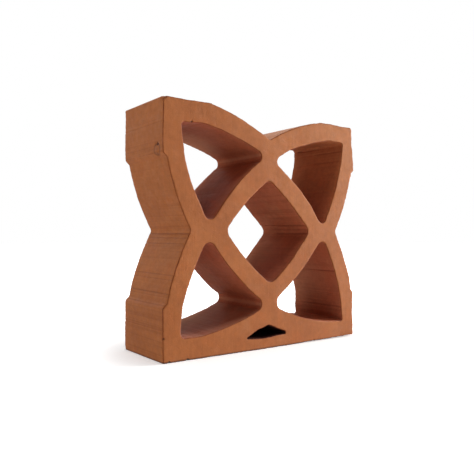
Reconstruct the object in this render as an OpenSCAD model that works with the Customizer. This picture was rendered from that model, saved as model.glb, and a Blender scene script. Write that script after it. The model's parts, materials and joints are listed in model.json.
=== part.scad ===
// Pierced terracotta screen block, also called a breeze block.
// One extruded and fired clay piece. Its section lies in the XZ plane: a diamond of four curved
// bars stands inside a pinched square of eight curved side bars, and the two share four nodes.
// The extrusion runs along Y, between two wire-cut faces.
// Origin: the centre of the bed face. +Z is up, +X runs across the face, -Y is the front.

/* [Block] */
// Width of the block across its side pads
block_w = 250; // [230:1:280]
// Height of the block, from its bed face to its top pads
block_h = 243; // [225:1:273]
// Depth of the block between its two cut faces
block_d = 80; // [40:1:160]
// Radius of the block's four outer corners, seen on the cut face
corner_r = 2; // [0.5:0.5:8]

/* [Side bars] */
// Thickness of a left or right side bar beside its notch
side_bar_t = 20.5; // [14:0.5:22]
// Thickness of the same bar beside its corner pad
side_bar_pad_t = 19; // [14:0.5:22]
// Thickness of an upper or lower side bar beside its notch
top_bar_t = 18.5; // [14:0.5:22]
// Thickness of the same bar beside its corner pad
top_bar_pad_t = 21.5; // [14:0.5:24]
// Rise of a side bar's outer arc over its chord, from notch to pad
side_bar_rise = 3; // [1.5:0.25:5]

/* [Notches] */
// Depth of the left and right notches, from the pads' plane to the sharp vertex
side_notch_depth = 29.5; // [26:0.5:33]
// Depth of the top notch and of its closed twin in the base
top_notch_depth = 28; // [25:0.5:32]
// Radius in the bottom of each open notch
notch_r = 4; // [1:0.5:8]

/* [Corner pads] */
// Length of the side pads, up and down the block's sides
side_pad_len = 50; // [42:1:58]
// Height of a side pad over the bar at the pad's end
side_pad_step = 3.5; // [2:0.25:6]
// Length of the top pads, along the block's top
top_pad_len = 53; // [44:1:60]
// Height of a top pad over the bar at the pad's end
top_pad_step = 0.5; // [0.25:0.25:4]
// How much further the top pads stand from the pattern's level centre line than the bed does
top_pad_lift = 1; // [0:0.25:3]

/* [Diamond] */
// Thickness of the four bars of the diamond
diamond_bar_t = 20; // [14:0.5:24]
// Rise of a diamond bar's inner arc over its chord, from node to node
diamond_rise = 3; // [1.5:0.25:6]
// Solid clay between a notch's vertex and the centre opening's corner
node_t = 40.5; // [34:0.5:46]
// Radius in the corners of the centre opening
centre_r = 8; // [2:0.5:14]

/* [Corner openings] */
// Radius in the two corners that point at the nodes
petal_node_r = 7; // [3:0.5:9]
// Radius in the corner that points at the block's corner
petal_tip_r = 6; // [3:0.5:10]

/* [Base] */
// Thickness of the strip that closes the lower notch
base_strip_t = 13; // [9:0.5:16]
// Sideways offset of the small opening over the strip, left by its own core in the die
base_open_x = -3; // [-8:0.5:8]
// Drop of the small opening below the line that the open notches keep
base_open_drop = 1.5; // [0:0.25:3]
// Radius in the top corner of the small opening
base_apex_r = 8; // [3:0.5:10]
// Radius in the two floor corners of the small opening
base_end_r = 1; // [0.5:0.25:3]

/* [Hidden] */
$fn = 96;
// Half width, and the heights of the pads and the bed from the pattern's level centre line.
// The section is drawn about that line and the block's upright centre line.
half_w = block_w / 2;
to_bed = (block_h - top_pad_lift) / 2;
to_top = to_bed + top_pad_lift;
// Floor of the small opening, from the level centre line
base_floor = base_strip_t - to_bed;
// How far a cutting shape runs past the edge that it cuts
past = 1;
// How far a round bites into the clay where it meets an edge, so that the two cross cleanly
bite = 0.004;
fired_clay = [0.64, 0.38, 0.23];

// Radius of the arc that spans p to q with a given rise
function arc_radius(p, q, rise) =
    (norm(q - p) ^ 2 / 4 + rise ^ 2) / (2 * rise);

// Centre of the arc that spans p to q and bulges to the left of that line
function arc_centre(p, q, rise) =
    (p + q) / 2 + (rise - arc_radius(p, q, rise)) * [p[1] - q[1], q[0] - p[0]] / norm(q - p);

// The crossing of two circles that lies nearer to a given point
function crossing(c1, r1, c2, r2, near) =
    let (
        dir = (c2 - c1) / norm(c2 - c1),
        along = (r1 ^ 2 - r2 ^ 2 + norm(c2 - c1) ^ 2) / (2 * norm(c2 - c1)),
        side = sqrt(r1 ^ 2 - along ^ 2) * [-dir[1], dir[0]],
        one = c1 + along * dir + side,
        other = c1 + along * dir - side
    )
    norm(one - near) < norm(other - near) ? one : other;

// A point on the line from a through b, a length past b
function beyond(a, b, length) = b + length * (b - a) / norm(b - a);

// Rise of an arc that runs beside another of rise and radius r, a mean thickness t inside it
function inner_rise(rise, r, t) = rise * (r - t) / r;

// Mirrored across the rising diagonal
function swapped(p) = [p[1], p[0]];

// Side bars: the arc from the notch's vertex to the foot of the pad
side_from = [half_w - side_notch_depth, 0];
side_to = [half_w - side_pad_step, to_bed - side_pad_len];
side_c = arc_centre(side_to, side_from, side_bar_rise);
side_r = arc_radius(side_from, side_to, side_bar_rise);
top_from = [0, to_top - top_notch_depth];
top_to = [half_w - top_pad_len, to_top - top_pad_step];
top_c = arc_centre(top_from, top_to, side_bar_rise);
top_r = arc_radius(top_from, top_to, side_bar_rise);

// The same bars' inner arcs, which the corner openings share
side_in_from = beyond(side_c, side_from, -side_bar_t);
side_in_to = beyond(side_c, side_to, -side_bar_pad_t);
side_in_rise = inner_rise(side_bar_rise, side_r, (side_bar_t + side_bar_pad_t) / 2);
side_in_c = arc_centre(side_in_to, side_in_from, side_in_rise);
side_in_r = arc_radius(side_in_from, side_in_to, side_in_rise);
top_in_from = beyond(top_c, top_from, -top_bar_t);
top_in_to = beyond(top_c, top_to, -top_bar_pad_t);
top_in_rise = inner_rise(side_bar_rise, top_r, (top_bar_t + top_bar_pad_t) / 2);
top_in_c = arc_centre(top_in_from, top_in_to, top_in_rise);
top_in_r = arc_radius(top_in_from, top_in_to, top_in_rise);

// Diamond: the inner arc from the side node to the top node
inner_side = [side_from[0] - node_t, 0];
inner_top = [0, top_from[1] - node_t];
diamond_c = arc_centre(inner_top, inner_side, diamond_rise);
diamond_r = arc_radius(inner_top, inner_side, diamond_rise);

// Copies of a shape on both sides of the block's upright centre line
module left_and_right() {
    children();
    mirror([1, 0]) children();
}

// Copies of a shape above and below the block's level centre line
module above_and_below() {
    children();
    mirror([0, 1]) children();
}

// Fills the corner v of an opening with a round of radius r centred on f.
// The round meets the opening's two edges at t1 and t2.
module corner_fill(f, t1, v, t2, r) {
    difference() {
        polygon([f, beyond(f, t1, past), beyond(f, v, past), beyond(f, t2, past)]);
        translate(f) circle(r + bite);
    }
}

// Fills the corner at v between two circular edges of an opening.
// s1 and s2 are 1 where the opening lies inside that circle and -1 where it lies outside.
module arc_corner_fill(c1, r1, s1, c2, r2, s2, v, r) {
    f = crossing(c1, r1 - s1 * r, c2, r2 - s2 * r, v);
    corner_fill(f, beyond(c1, f, s1 * r), v, beyond(c2, f, s2 * r), r);
}

// The V-shaped notch in a +X side, between two pads with 45 degree ends.
// c and r are its upper arc's circle, edge and vertex the distances of the pads' plane and of
// the sharp vertex from the block's middle, and reach half the gap between the pads.
module notch(c, r, edge, vertex, reach, vertex_r) {
    low_c = [c[0], -c[1]];
    inner = vertex - past;
    outer = edge + past;
    difference() {
        polygon([
            [inner, inner - edge + reach],
            [inner, edge - inner - reach],
            [outer, edge - outer - reach],
            [outer, outer - edge + reach]
        ]);
        translate(c) circle(r);
        translate(low_c) circle(r);
        arc_corner_fill(c, r, -1, low_c, r, -1, [vertex, 0], vertex_r);
    }
}

// The notch in the +X side
module side_notch() {
    notch(side_c, side_r, half_w, side_from[0], side_to[1], notch_r);
}

// The notch in the top, and its twin in the bottom with another radius at the vertex
module top_notch(vertex_r) {
    rotate(90)
        notch(swapped(top_c), top_r, to_top, top_from[1], top_to[0], vertex_r);
}

// The waste outside the round of one corner, drawn with the sharp corner at the origin
module corner_waste() {
    translate([-corner_r, -corner_r])
        difference() {
            square(corner_r + past);
            circle(corner_r);
        }
}

// The block's outer outline, with three open notches and a closed base
module outline() {
    difference() {
        translate([-half_w, -to_bed]) square([block_w, block_h]);
        left_and_right() {
            side_notch();
            translate([half_w, to_top]) corner_waste();
            translate([half_w, -to_bed]) mirror([0, 1]) corner_waste();
        }
        top_notch(notch_r);
    }
}

// The diamond-shaped opening in the middle
module centre_opening() {
    c = diamond_c;
    difference() {
        intersection_for(sign = [[1, 1], [-1, 1], [-1, -1], [1, -1]])
            translate([sign[0] * c[0], sign[1] * c[1]]) circle(diamond_r);
        left_and_right()
            arc_corner_fill(c, diamond_r, 1, [c[0], -c[1]], diamond_r, 1, inner_side, centre_r);
        above_and_below()
            arc_corner_fill(c, diamond_r, 1, [-c[0], c[1]], diamond_r, 1, inner_top, centre_r);
    }
}

// The three-sided opening in the upper right corner
module corner_opening() {
    bar_out = diamond_r + diamond_bar_t;
    tip = crossing(side_in_c, side_in_r, top_in_c, top_in_r, [half_w, to_bed]);
    by_side = crossing(side_in_c, side_in_r, diamond_c, bar_out, [half_w, 0]);
    by_top = crossing(top_in_c, top_in_r, diamond_c, bar_out, [0, to_bed]);
    difference() {
        intersection() {
            translate(side_in_c) circle(side_in_r);
            translate(top_in_c) circle(top_in_r);
        }
        translate(diamond_c) circle(bar_out);
        arc_corner_fill(side_in_c, side_in_r, 1, top_in_c, top_in_r, 1, tip, petal_tip_r);
        arc_corner_fill(side_in_c, side_in_r, 1, diamond_c, bar_out, -1, by_side, petal_node_r);
        arc_corner_fill(top_in_c, top_in_r, 1, diamond_c, bar_out, -1, by_top, petal_node_r);
    }
}

// The small opening between the closed lower notch and the base strip
module base_opening() {
    c = [top_c[0], -top_c[1] - base_open_drop];
    end = [c[0] - sqrt(top_r ^ 2 - (base_floor - c[1]) ^ 2), base_floor];
    f_y = base_floor + base_end_r;
    f = [c[0] - sqrt((top_r + base_end_r) ^ 2 - (f_y - c[1]) ^ 2), f_y];
    strip_bottom = -to_top - base_open_drop - 2 * past;
    translate([base_open_x, 0])
        difference() {
            translate([0, -base_open_drop]) mirror([0, 1]) top_notch(base_apex_r);
            translate([-half_w, strip_bottom]) square([block_w, base_floor - strip_bottom]);
            left_and_right()
                corner_fill(f, beyond(c, f, -base_end_r), end, [f[0], base_floor], base_end_r);
        }
}

// The block's section, drawn about the crossing of its two centre lines
module section() {
    difference() {
        outline();
        centre_opening();
        above_and_below() left_and_right() corner_opening();
        base_opening();
    }
}

// The whole block, extruded between its two cut faces
module block() {
    color(fired_clay)
        rotate([90, 0, 0])
            translate([0, to_bed, -block_d / 2])
                linear_extrude(block_d)
                    section();
}

block();
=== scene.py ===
"""Finish of a pierced terracotta screen block, also called a breeze block.

The block is one piece of clay that was pushed through a die along its depth, cut with a wire on
both faces, dried and fired. Its section is drawn as closed outlines, filled and carried back in
rows, and its arrises are worn and its skin marked as the die, the wire and the kiln leave them.
Some of the skins' colour is painted light: painted shade along the bed, in pits, chips and
arrises and inside the small opening and the openings, and painted sheen on the openings'
walls and on sides that face up. Sizes are in millimetres on the section, where x runs
across the face and z up from the bed.
"""

from __future__ import annotations

import json
import logging
import math
from dataclasses import dataclass, field
from enum import Enum
from typing import Callable, Iterable

import bmesh
import bpy
from mathutils import Matrix, Vector

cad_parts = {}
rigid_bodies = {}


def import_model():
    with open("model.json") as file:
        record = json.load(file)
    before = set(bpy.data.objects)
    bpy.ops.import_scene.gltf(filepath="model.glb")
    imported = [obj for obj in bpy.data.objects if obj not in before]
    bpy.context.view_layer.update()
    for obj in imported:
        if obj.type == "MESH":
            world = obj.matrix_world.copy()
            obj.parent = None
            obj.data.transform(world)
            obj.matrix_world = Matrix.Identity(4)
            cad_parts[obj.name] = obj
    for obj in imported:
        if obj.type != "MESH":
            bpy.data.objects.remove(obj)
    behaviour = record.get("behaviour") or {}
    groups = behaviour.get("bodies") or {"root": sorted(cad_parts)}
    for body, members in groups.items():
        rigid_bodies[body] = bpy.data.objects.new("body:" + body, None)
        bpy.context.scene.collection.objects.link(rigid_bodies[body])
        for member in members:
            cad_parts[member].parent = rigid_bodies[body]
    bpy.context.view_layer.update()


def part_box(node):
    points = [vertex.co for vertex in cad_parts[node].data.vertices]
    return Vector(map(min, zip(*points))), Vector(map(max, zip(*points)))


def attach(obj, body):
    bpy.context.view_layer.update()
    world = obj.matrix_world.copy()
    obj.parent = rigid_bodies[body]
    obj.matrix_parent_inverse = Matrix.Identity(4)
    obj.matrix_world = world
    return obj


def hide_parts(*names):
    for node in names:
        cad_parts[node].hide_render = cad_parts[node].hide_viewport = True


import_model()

MM = 0.001
Place = tuple[float, float, float]
Colour = tuple[float, float, float]
Stops = tuple[tuple[float, float], ...]
Socket = bpy.types.NodeSocket
log = logging.getLogger("breeze_block")


class Turn(Enum):
    """Which way an arc runs, seen from the front."""

    CLOCKWISE = -1
    ANTICLOCKWISE = 1


class Skin(Enum):
    """The skins of the clay. Each value is the skin's material slot on the block."""

    CUT = 0
    BORE = 1
    ARRIS = 2
    DRAWN = 3
    SHADED_HOLE = 4


class Part(Enum):
    """The parts of a mesh that edit mode selects."""

    VERT = "VERT"
    EDGE = "EDGE"
    FACE = "FACE"


class Fading(Enum):
    """How a shift of the clay fades out: softly, or in a round dent."""

    SOFT = "SMOOTH"
    ROUND = "SPHERE"


class Push(Enum):
    """Which way a relief pushes the clay."""

    OUTWARD = "NORMAL"
    ALONG = "Y"
    FREELY = "RGB_TO_XYZ"


class Blend(Enum):
    """How one colour is laid over another."""

    MIX = "MIX"
    MULTIPLY = "MULTIPLY"
    OVERLAY = "OVERLAY"


class Op(Enum):
    """The sums that a material does."""

    ADD = "ADD"
    SUBTRACT = "SUBTRACT"
    MULTIPLY = "MULTIPLY"
    LARGER = "MAXIMUM"
    SIZE = "ABSOLUTE"
    ABOVE = "GREATER_THAN"
    DISTANCE = "DISTANCE"


class Axis(Enum):
    """The directions that a material looks at."""

    ACROSS = "X"
    UP = "Z"


def point(x: float, z: float) -> Vector:
    """Returns a point of the section, in millimetres."""
    return Vector((x, z))


def metres(lengths: Iterable[float]) -> tuple[float, ...]:
    """Returns lengths in metres that are given in millimetres."""
    return tuple(length * MM for length in lengths)


# ---------------------------------------------------------------------------------------------
# Plane geometry of the section
# ---------------------------------------------------------------------------------------------


@dataclass(frozen=True)
class Circle:
    """A circle on the section that an edge of the clay follows.

    Attributes:
        centre: Centre, in millimetres.
        radius: Radius, in millimetres.
    """

    centre: Vector
    radius: float

    @classmethod
    def bowed(cls, start: Vector, end: Vector, rise: float) -> "Circle":
        """Makes the circle of an arc that bulges to the left of the line from start to end.

        Args:
            start: Start of the arc.
            end: End of the arc.
            rise: Height of the arc over its chord.

        Returns:
            The circle.
        """
        chord = end - start
        radius = (chord.length**2 / 4 + rise**2) / (2 * rise)
        left = Vector((-chord.y, chord.x)) / chord.length
        return cls((start + end) / 2 + (rise - radius) * left, radius)

    def grown(self, by: float) -> "Circle":
        """Returns the circle with a longer radius."""
        return Circle(self.centre, self.radius + by)

    def mirrored(self, across: bool = False, level: float | None = None) -> "Circle":
        """Mirrors the circle.

        Args:
            across: Whether x changes sign.
            level: Height of the line to mirror the circle over, if any.

        Returns:
            The mirrored circle.
        """
        x = -self.centre.x if across else self.centre.x
        z = self.centre.y if level is None else 2 * level - self.centre.y
        return Circle(point(x, z), self.radius)

    def meet(self, other: "Circle", near: Vector) -> Vector:
        """Finds where two circles cross.

        Args:
            other: The second circle.
            near: A point near the crossing that is wanted.

        Returns:
            The crossing nearer to that point.
        """
        gap = other.centre - self.centre
        along = (self.radius**2 - other.radius**2 + gap.length_squared) / (2 * gap.length)
        half = math.sqrt(max(self.radius**2 - along**2, 0.0))
        unit = gap.normalized()
        side = Vector((-unit.y, unit.x)) * half
        foot = self.centre + along * unit
        return min((foot + side, foot - side), key=lambda p: (p - near).length)

    def meet_line(self, start: Vector, way: Vector, near: Vector) -> Vector:
        """Finds where a line crosses the circle.

        Args:
            start: A point on the line.
            way: The line's direction.
            near: A point near the crossing that is wanted.

        Returns:
            The crossing nearer to that point.
        """
        unit = way.normalized()
        foot = start + unit * (self.centre - start).dot(unit)
        half = math.sqrt(max(self.radius**2 - (foot - self.centre).length_squared, 0.0))
        return min((foot + unit * half, foot - unit * half), key=lambda p: (p - near).length)

    def nearest(self, to: Vector) -> Vector:
        """Returns the point of the circle on the ray from its centre through a point."""
        return self.centre + (to - self.centre).normalized() * self.radius


@dataclass(frozen=True)
class SectionPlan:
    """Sizes of the section, in millimetres, and the circles that follow from them.

    Attributes:
        width: Across the side pads.
        height: From the bed to the top pads.
        level: Height of the line that the diamond is drawn about.
        notch_side: Distance of a side notch's vertex from the pads' plane.
        notch_top: Distance of the top notch's vertex from the pads' plane.
        bar_rise: Rise of a side bar's outer arc.
        side_pad: Length of a side pad.
        side_step: Height of a side pad over its bar.
        top_pad: Length of a top pad.
        top_step: Height of a top pad over its bar.
        side_bar: Thickness of a side bar at its notch and at its pad.
        top_bar: Thickness of an upper or lower bar at its notch and at its pad.
        diamond_bar: Thickness of a bar of the diamond.
        diamond_rise: Rise of the diamond's inner arcs.
        node: Clay between a notch's vertex and the centre opening.
    """

    width: float
    height: float
    level: float = 121.0
    notch_side: float = 29.5
    notch_top: float = 28.0
    bar_rise: float = 3.0
    side_pad: float = 50.0
    side_step: float = 3.5
    top_pad: float = 53.0
    top_step: float = 0.5
    side_bar: tuple[float, float] = (20.5, 19.0)
    top_bar: tuple[float, float] = (18.5, 21.5)
    diamond_bar: float = 20.0
    diamond_rise: float = 3.0
    node: float = 40.5

    @property
    def half(self) -> float:
        """Half the width."""
        return self.width / 2

    @property
    def side_ends(self) -> tuple[Vector, Vector]:
        """Ends of the upper right side bar's outer arc, from the notch to the pad."""
        low = point(self.half - self.notch_side, self.level)
        return low, point(self.half - self.side_step, 2 * self.level - self.side_pad)

    @property
    def top_ends(self) -> tuple[Vector, Vector]:
        """Ends of the right top bar's outer arc, from the notch to the pad."""
        low = point(0, self.height - self.notch_top)
        return low, point(self.half - self.top_pad, self.height - self.top_step)

    @property
    def side_outer(self) -> Circle:
        """Circle of the upper right side bar's outer edge."""
        low, high = self.side_ends
        return Circle.bowed(high, low, self.bar_rise)

    @property
    def top_outer(self) -> Circle:
        """Circle of the right top bar's outer edge."""
        low, high = self.top_ends
        return Circle.bowed(low, high, self.bar_rise)

    def inner_of(
        self, outer: Circle, ends: tuple[Vector, Vector], bar: tuple[float, float]
    ) -> tuple[Vector, Vector, float]:
        """Finds the ends and the rise of a bar's inner arc.

        Args:
            outer: Circle of the bar's outer edge.
            ends: Ends of the outer arc.
            bar: Thickness of the bar at each end.

        Returns:
            Both ends of the inner arc, and its rise.
        """
        start, end = (p + (outer.centre - p).normalized() * t for p, t in zip(ends, bar))
        mean = (bar[0] + bar[1]) / 2
        return start, end, self.bar_rise * (outer.radius - mean) / outer.radius

    @property
    def side_inner(self) -> Circle:
        """Circle of the upper right side bar's inner edge."""
        low, high, rise = self.inner_of(self.side_outer, self.side_ends, self.side_bar)
        return Circle.bowed(high, low, rise)

    @property
    def top_inner(self) -> Circle:
        """Circle of the right top bar's inner edge."""
        low, high, rise = self.inner_of(self.top_outer, self.top_ends, self.top_bar)
        return Circle.bowed(low, high, rise)

    @property
    def diamond_ends(self) -> tuple[Vector, Vector]:
        """Sharp corners of the centre opening, at the right and at the top."""
        right = point(self.half - self.notch_side - self.node, self.level)
        return right, point(0, self.height - self.notch_top - self.node)

    @property
    def diamond_inner(self) -> Circle:
        """Circle of the upper right diamond bar's inner edge."""
        right, top = self.diamond_ends
        return Circle.bowed(top, right, self.diamond_rise)

    @property
    def diamond_outer(self) -> Circle:
        """Circle of the upper right diamond bar's outer edge."""
        return self.diamond_inner.grown(self.diamond_bar)


# ---------------------------------------------------------------------------------------------
# Drawing and shaping the mesh
# ---------------------------------------------------------------------------------------------


class Bench:
    """Short names for the selections and moves that every piece of work needs."""

    @staticmethod
    def clear() -> None:
        """Leaves nothing selected in object mode."""
        bpy.ops.object.select_all(action="DESELECT")
        bpy.context.view_layer.objects.active = None

    @staticmethod
    def take(piece: bpy.types.Object) -> None:
        """Makes one object the only selected and the active one.

        Args:
            piece: The object.
        """
        Bench.clear()
        piece.select_set(True)
        bpy.context.view_layer.objects.active = piece

    @staticmethod
    def mode(part: Part) -> None:
        """Switches edit mode to selecting one kind of part."""
        bpy.ops.mesh.select_mode(type=part.value)

    @staticmethod
    def select_all() -> None:
        """Selects all of the edited mesh that isn't hidden."""
        bpy.ops.mesh.select_all(action="SELECT")

    @staticmethod
    def choose(part: Part, choice: Callable[[list], list]) -> int:
        """Selects some parts of the edited mesh and nothing else.

        Args:
            part: The kind of part.
            choice: Picks the wanted parts from all parts of that kind.

        Returns:
            How many parts are selected.
        """
        Bench.mode(part)
        bpy.ops.mesh.select_all(action="DESELECT")
        mesh = bpy.context.edit_object.data
        shape = bmesh.from_edit_mesh(mesh)
        parts = {Part.VERT: shape.verts, Part.EDGE: shape.edges, Part.FACE: shape.faces}[part]
        found = choice(list(parts))
        for item in found:
            item.select_set(True)
        bmesh.update_edit_mesh(mesh)
        return len(found)

    @staticmethod
    def pick(part: Part, test: Callable[[object], bool]) -> int:
        """Selects the parts of the edited mesh that pass a test, and counts them."""
        return Bench.choose(part, lambda parts: [item for item in parts if test(item)])

    @staticmethod
    def pick_nearest(at: Vector) -> None:
        """Selects the vertex of the edited mesh that lies nearest to a place in metres."""
        Bench.choose(Part.VERT, lambda vs: [min(vs, key=lambda v: (v.co - at).length_squared)])

    @staticmethod
    def drag(by: Place, reach: float, fading: Fading = Fading.SOFT, joined: bool = False) -> None:
        """Shifts the selection, and what lies round it less and less.

        Args:
            by: Shift in x, y and z, in millimetres.
            reach: Distance over which the shift fades out, in millimetres.
            fading: How it fades.
            joined: Whether the shift only runs along edges of the mesh.
        """
        bpy.ops.transform.translate(
            value=metres(by),
            use_proportional_edit=True,
            use_proportional_connected=joined,
            proportional_edit_falloff=fading.value,
            proportional_size=reach * MM,
        )


@dataclass(frozen=True)
class Pull:
    """A place where the soft clay, or the die, gave a little.

    Attributes:
        at: Place on the section, in millimetres.
        by: Shift across and up, in millimetres.
        reach: Distance over which the shift fades out, in millimetres.
    """

    at: tuple[float, float]
    by: tuple[float, float]
    reach: float

    def apply(self, depth: float) -> None:
        """Shifts the outline round this place, at a depth in metres, in the edited mesh."""
        Bench.pick_nearest(Vector((self.at[0] * MM, depth, self.at[1] * MM)))
        Bench.drag((self.by[0], 0, self.by[1]), self.reach, joined=True)


@dataclass(frozen=True)
class Knock:
    """A place on the finished skin where the clay was knocked, lifted or leant over.

    Attributes:
        at: Place, in millimetres.
        by: Shift in x, y and z, in millimetres.
        reach: Distance over which the shift fades out, in millimetres.
        fading: How it fades.
        margin: Width of the finer skin round the shift, in millimetres.
        small: Reach below which the skin is divided once more, in millimetres.
    """

    at: Place
    by: Place
    reach: float
    fading: Fading = Fading.SOFT
    margin: float = 0.6
    small: float = 3.0

    def divide(self) -> None:
        """Makes the skin round this place finer."""
        at, near = Vector(self.at) * MM, (self.reach + self.margin) * MM
        Bench.pick(Part.FACE, lambda f: min((v.co - at).length for v in f.verts) < near)
        bpy.ops.mesh.subdivide(number_cuts=2 if self.reach < self.small else 1)

    def apply(self) -> None:
        """Shifts the skin round this place in the edited mesh."""
        Bench.pick_nearest(Vector(self.at) * MM)
        Bench.drag(self.by, self.reach, self.fading)


@dataclass(frozen=True)
class PressedRing:
    """A faint ring that something round pressed into the left side.

    Attributes:
        at: Its centre, in millimetres.
        radius: Radius, in millimetres.
        width: Half the width of its bottom, in millimetres.
        depth: How deep it is, in millimetres.
        blur: Width of its soft sides, in millimetres.
        margin: Width of the finer skin round it, in millimetres.
    """

    at: Place = (-125, -28.6, 195.6)
    radius: float = 4.9
    width: float = 0.9
    depth: float = 0.28
    blur: float = 1.0
    margin: float = 3.5

    def apply(self) -> None:
        """Makes the skin round the ring finer and presses the ring in."""
        at, near = Vector(self.at) * MM, (self.radius + self.margin) * MM
        Bench.pick(Part.FACE, lambda f: (f.calc_center_median() - at).length < near)
        bpy.ops.mesh.subdivide(number_cuts=2)
        radius, width = self.radius * MM, self.width * MM
        Bench.pick(Part.VERT, lambda v: abs((v.co - at).length - radius) < width)
        Bench.drag((self.depth, 0, 0), self.blur)


@dataclass(frozen=True)
class Score:
    """A line that a grain of grit in the die scored along the whole depth.

    Attributes:
        at: Place on the section, in millimetres.
        into: Shift of the clay at the bottom of the line, in millimetres.
        width: Half the width of the line, in millimetres.
        shade: How much darker the line is.
        spread: Distance over which the shift fades out, in half widths.
        edge: Distances between which the shade fades out, in half widths.
    """

    at: tuple[float, float]
    into: tuple[float, float]
    width: float
    shade: float
    spread: float = 1.8
    edge: tuple[float, float] = (0.2, 1.25)

    def apply(self, depth: float) -> None:
        """Scores the outline, at a depth in metres, in the edited mesh."""
        Pull(self.at, self.into, self.spread * self.width).apply(depth)


@dataclass(frozen=True)
class Mark:
    """A round spot of painted light: painted shade in a pit, chip or dent, or painted sheen.

    Attributes:
        at: Place, in millimetres.
        radius: Radius, in millimetres.
        blur: Width of its soft edge, in millimetres.
        amount: How strong it is.
        ring: Whether only its rim is painted.
        pale: Whether it is a pale painted sheen and not painted shade.
        along: Whether it runs through the whole depth.
    """

    at: Place
    radius: float
    blur: float
    amount: float
    ring: bool = False
    pale: bool = False
    along: bool = False


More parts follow.
